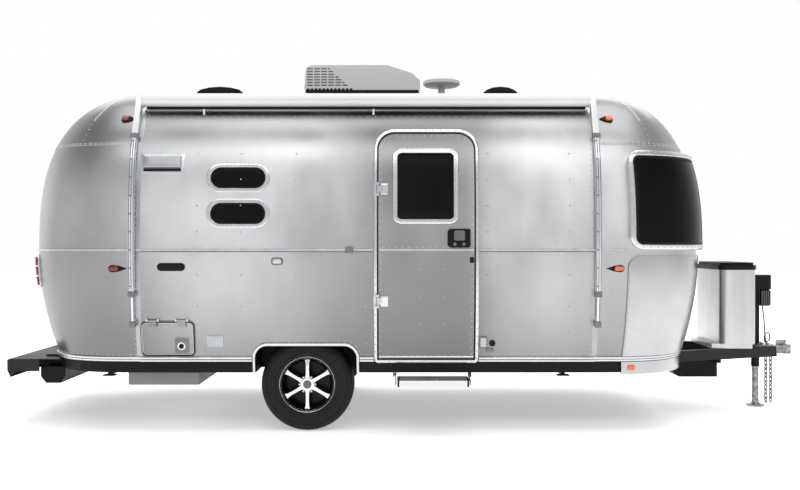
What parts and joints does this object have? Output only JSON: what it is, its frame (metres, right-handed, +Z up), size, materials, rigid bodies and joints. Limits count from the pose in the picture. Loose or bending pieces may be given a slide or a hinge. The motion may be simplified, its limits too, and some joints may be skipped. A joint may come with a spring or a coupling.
{
  "type": "travel caravan",
  "caption": "Single-axle riveted aluminium travel caravan with domed ends, entry door, roof air conditioner, awning, folding step and tongue jack.",
  "frame": {"origin": "on the ground under the middle of the caravan", "axes": "+X towards the hitch, +Y away from the entry door side, +Z up"},
  "size_m": [6.35, 2.5744, 2.85],
  "materials": {
    "aluminium_skin": "satin mill finish",
    "bright_trim": "polished",
    "window_glass": "dark tint",
    "black_steel": "semi-gloss black",
    "grey_steel": "satin grey",
    "floor_wood": "satin",
    "tyre_rubber": "matt",
    "alloy_wheel": "machined",
    "black_plastic": "matt",
    "white_plastic": "satin",
    "amber_lens": "gloss",
    "red_lens": "gloss",
    "zinc_steel": "zinc plated"
  },
  "bodies": {
    "caravan_body": {"side_wall_door": "aluminium_skin", "side_wall_off": "aluminium_skin", "roof_panel": "aluminium_skin", "front_end_cap": "aluminium_skin", "rear_end_cap": "aluminium_skin", "floor_deck": "floor_wood", "belly_tray": "black_steel", "wheel_wells": "black_steel", "chassis": "black_steel", "a_frame": "black_steel", "coupler": "zinc_steel", "bumper": "black_steel", "underbody_boxes": "grey_steel", "axle_beam": "black_steel", "hubs": "black_steel", "door_surround": "bright_trim", "hinge_pins": "bright_trim", "side_window_frames": "bright_trim", "side_window_glass": "window_glass", "end_window_frames": "bright_trim", "end_window_glass": "window_glass", "body_rails": "bright_trim", "arch_trims": "bright_trim", "stone_guards": "bright_trim", "awning_roller": "white_plastic", "awning_arms": "bright_trim", "wall_fittings": "bright_trim", "amber_lights": "amber_lens", "red_lights": "red_lens", "ac_shroud": "white_plastic", "roof_bases": "black_plastic", "antenna": "white_plastic", "bottle_cover": "bright_trim", "bottle_lid": "black_plastic", "jack_body": "black_steel", "safety_chains": "zinc_steel", "front_cable": "black_plastic", "step_frame": "black_steel", "stabiliser_mounts": "black_steel"},
    "entry_door": {"door_leaf": "aluminium_skin", "door_glass": "window_glass", "door_trim": "bright_trim", "door_handle": "black_plastic", "door_hinges": "bright_trim"},
    "baggage_door": {"bag_door": "aluminium_skin"},
    "wheel_door_side": {"tyre_door": "tyre_rubber", "rim_door": "alloy_wheel"},
    "wheel_off_side": {"tyre_off": "tyre_rubber", "rim_off": "alloy_wheel"},
    "step_arms": {"step_arms": "zinc_steel"},
    "step_tread": {"step_tread": "bright_trim"},
    "vent_lid_rear": {"vent_lid_rear": "black_plastic"},
    "vent_lid_front": {"vent_lid_front": "black_plastic"},
    "jack_leg": {"jack_leg": "zinc_steel"},
    "stabiliser_rear_door": {"stabiliser_rd": "black_steel"},
    "stabiliser_rear_off": {"stabiliser_ro": "black_steel"},
    "stabiliser_front_door": {"stabiliser_fd": "black_steel"},
    "stabiliser_front_off": {"stabiliser_fo": "black_steel"}
  },
  "joints": [
    {"name": "entry_door_hinge", "type": "hinge", "parent": "caravan_body", "child": "entry_door", "pos_m": [-0.336, -1.239, 1.37], "axis": [0, 0, -1], "range_deg": [0, 170]},
    {"name": "baggage_door_hinge", "type": "hinge", "parent": "caravan_body", "child": "baggage_door", "pos_m": [-1.867, -1.20051, 0.825], "axis": [-1, 0, 0], "range_deg": [0, 100]},
    {"name": "wheel_spin_door_side", "type": "hinge", "parent": "caravan_body", "child": "wheel_door_side", "pos_m": [-0.863, -0.985, 0.345], "axis": [0, 1, 0], "continuous": true},
    {"name": "wheel_spin_off_side", "type": "hinge", "parent": "caravan_body", "child": "wheel_off_side", "pos_m": [-0.863, 0.985, 0.345], "axis": [0, 1, 0], "continuous": true},
    {"name": "step_fold", "type": "hinge", "parent": "caravan_body", "child": "step_arms", "pos_m": [0.0595, -1.059, 0.418], "axis": [1, 0, 0], "range_deg": [0, 160]},
    {"name": "step_tread_level", "type": "hinge", "parent": "step_arms", "child": "step_tread", "pos_m": [0.0595, -1.24628, 0.38599], "axis": [1, 0, 0], "range_deg": [-160, 0]},
    {"name": "rear_vent_lid_hinge", "type": "hinge", "parent": "caravan_body", "child": "vent_lid_rear", "pos_m": [-1.902, 0, 2.6426], "axis": [0, -1, 0], "range_deg": [0, 45]},
    {"name": "front_vent_lid_hinge", "type": "hinge", "parent": "caravan_body", "child": "vent_lid_front", "pos_m": [0.513, 0, 2.6426], "axis": [0, -1, 0], "range_deg": [0, 45]},
    {"name": "jack_slide", "type": "slide", "parent": "caravan_body", "child": "jack_leg", "axis": [0, 0, 1], "range_m": [0, 0.3]},
    {"name": "stabiliser_rear_door_hinge", "type": "hinge", "parent": "caravan_body", "child": "stabiliser_rear_door", "pos_m": [-2.37, -0.52, 0.41], "axis": [1, 0, 0], "range_deg": [0, 58]},
    {"name": "stabiliser_rear_off_hinge", "type": "hinge", "parent": "caravan_body", "child": "stabiliser_rear_off", "pos_m": [-2.37, 0.52, 0.41], "axis": [-1, 0, 0], "range_deg": [0, 58]},
    {"name": "stabiliser_front_door_hinge", "type": "hinge", "parent": "caravan_body", "child": "stabiliser_front_door", "pos_m": [1.052, -0.52, 0.41], "axis": [1, 0, 0], "range_deg": [0, 58]},
    {"name": "stabiliser_front_off_hinge", "type": "hinge", "parent": "caravan_body", "child": "stabiliser_front_off", "pos_m": [1.052, 0.52, 0.41], "axis": [-1, 0, 0], "range_deg": [0, 58]}
  ],
  "couplings": [
    {"joint": "step_tread_level", "follows": "step_fold", "ratio": -1}
  ]
}
